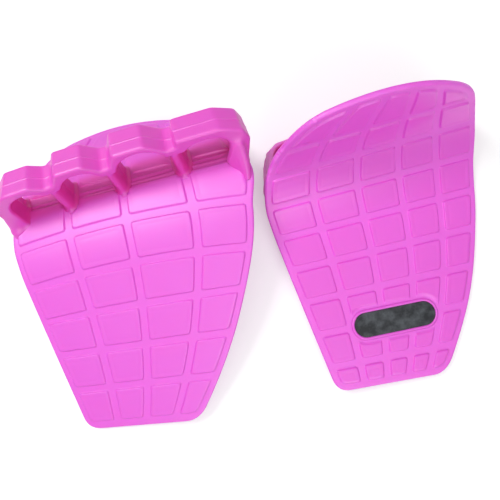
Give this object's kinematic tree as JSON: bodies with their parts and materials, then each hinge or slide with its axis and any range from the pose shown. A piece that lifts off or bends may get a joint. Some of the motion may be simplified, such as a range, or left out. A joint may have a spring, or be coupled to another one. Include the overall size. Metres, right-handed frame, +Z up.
{
  "type": "palm grip pads with finger loops",
  "caption": "Pair of moulded silicone palm pads with finger loops on the hand side and raised tiles on both faces, bent over the finger roots to cushion a bar.",
  "frame": {"origin": "centre of the pair's footprint, on the table", "axes": "+X across the pair from the left-hand grip to the right-hand grip, +Y from the wrist ends to the finger ends, +Z up from the table"},
  "size_m": [0.212, 0.159, 0.0569],
  "materials": {
    "silicone": "satin silicone rubber, one colour all through",
    "inlay": "plain dark satin inlay"
  },
  "bodies": {
    "palms": {"left_palm_pad": "silicone", "left_flex_web": "silicone", "left_inlay": "inlay", "right_palm_pad": "silicone", "right_flex_web": "silicone", "right_inlay": "inlay"},
    "left_fingers": {"left_finger_pad": "silicone", "left_little_loop": "silicone", "left_ring_loop": "silicone", "left_middle_loop": "silicone", "left_index_loop": "silicone"},
    "right_fingers": {"right_finger_pad": "silicone", "right_little_loop": "silicone", "right_ring_loop": "silicone", "right_middle_loop": "silicone", "right_index_loop": "silicone"}
  },
  "joints": [
    {"name": "left_finger_flex", "type": "hinge", "parent": "palms", "child": "left_fingers", "pos_m": [-0.05355, 0.01257, 0.0234], "axis": [-0.974, -0.2053, -0.0958], "range_deg": [-35, 45], "stiffness_Nm_per_rad": 0.1, "deforming": ["left_flex_web"]},
    {"name": "right_finger_flex", "type": "hinge", "parent": "palms", "child": "right_fingers", "pos_m": [0.05419, 0.03288, 0.00976], "axis": [0.961, 0.2701, -0.0593], "range_deg": [-35, 45], "stiffness_Nm_per_rad": 0.1, "deforming": ["right_flex_web"]}
  ]
}
